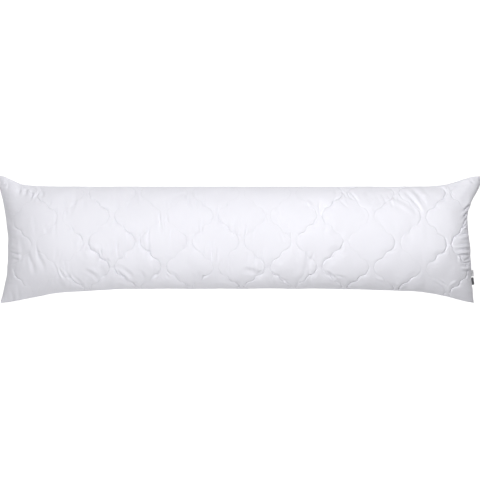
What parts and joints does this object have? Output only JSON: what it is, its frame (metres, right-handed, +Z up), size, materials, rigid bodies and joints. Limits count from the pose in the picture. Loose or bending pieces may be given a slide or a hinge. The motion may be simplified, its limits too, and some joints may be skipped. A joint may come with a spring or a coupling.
{
  "type": "body pillow",
  "caption": "Long rectangular body pillow with a zigzag-quilted cover, a full crown, drawn-in sides and four soft ears.",
  "frame": {"origin": "middle of the pillow's flat underside, on the surface it rests on", "axes": "+X along the pillow's length towards the end with the labels, +Y across it, +Z up out of its upper face"},
  "size_m": [1.445, 0.381, 0.1794],
  "materials": {
    "cover": "matt brushed microfibre, quilted",
    "woven_label": "dark grey woven ribbon",
    "satin_label": "white satin ribbon"
  },
  "bodies": {
    "root": {"pillow": "cover", "side_label": "woven_label", "care_label": "satin_label"}
  },
  "joints": []
}
